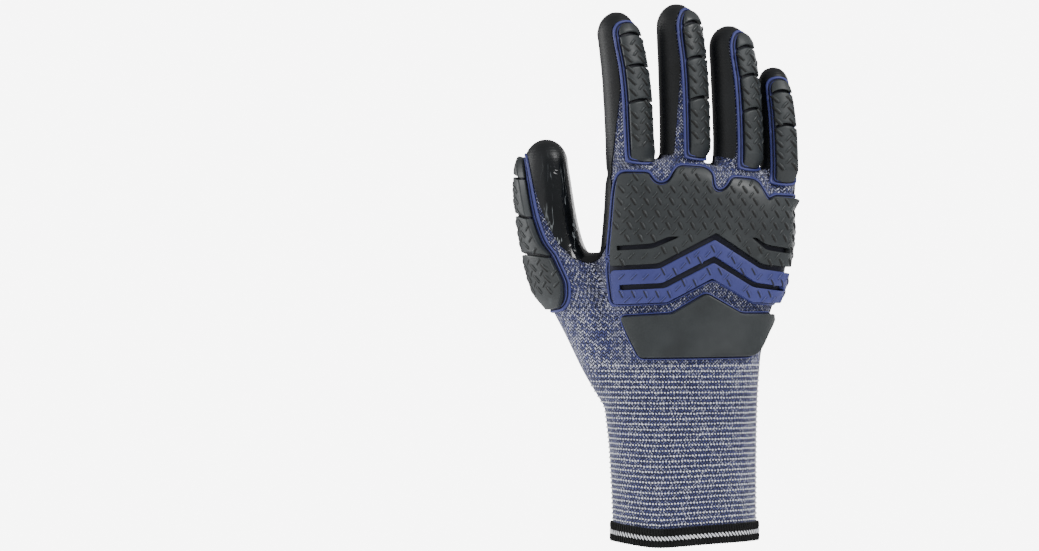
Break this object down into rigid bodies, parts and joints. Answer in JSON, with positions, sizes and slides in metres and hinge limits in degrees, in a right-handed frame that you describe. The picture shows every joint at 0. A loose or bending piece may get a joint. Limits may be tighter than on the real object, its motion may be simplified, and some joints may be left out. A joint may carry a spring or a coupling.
{
  "type": "impact glove",
  "caption": "Right-hand knitted work glove with a coated palm and moulded rubber guards on knuckles, fingers, thumb and back, open at the wrist.",
  "frame": {"origin": "middle of the wrist opening, at the lower edge of the hem", "axes": "+Z from the wrist towards the finger tips, -Y out of the back of the hand, -X towards the thumb"},
  "size_m": [0.1326, 0.044, 0.2524],
  "materials": {
    "knit": "blue melange knit",
    "coating": "matte foam coating",
    "hem": "black overlocked edge",
    "blue_rubber": "satin moulded rubber",
    "black_rubber": "satin moulded rubber"
  },
  "bodies": {
    "root": {"knit_liner": "knit", "index_knit": "knit", "middle_knit": "knit", "ring_knit": "knit", "little_knit": "knit", "thumb_knit": "knit", "palm_coating": "coating", "cuff_hem": "hem", "back_guard_base": "blue_rubber", "knuckle_guard": "black_rubber", "chevron_guard": "blue_rubber", "wrist_guard_base": "blue_rubber", "wrist_guard": "black_rubber", "index_guard_base": "blue_rubber", "index_guard": "black_rubber", "middle_guard_base": "blue_rubber", "middle_guard": "black_rubber", "ring_guard_base": "blue_rubber", "ring_guard": "black_rubber", "little_guard_base": "blue_rubber", "little_guard": "black_rubber", "thumb_guard_base": "blue_rubber", "thumb_guard": "black_rubber"}
  },
  "joints": []
}
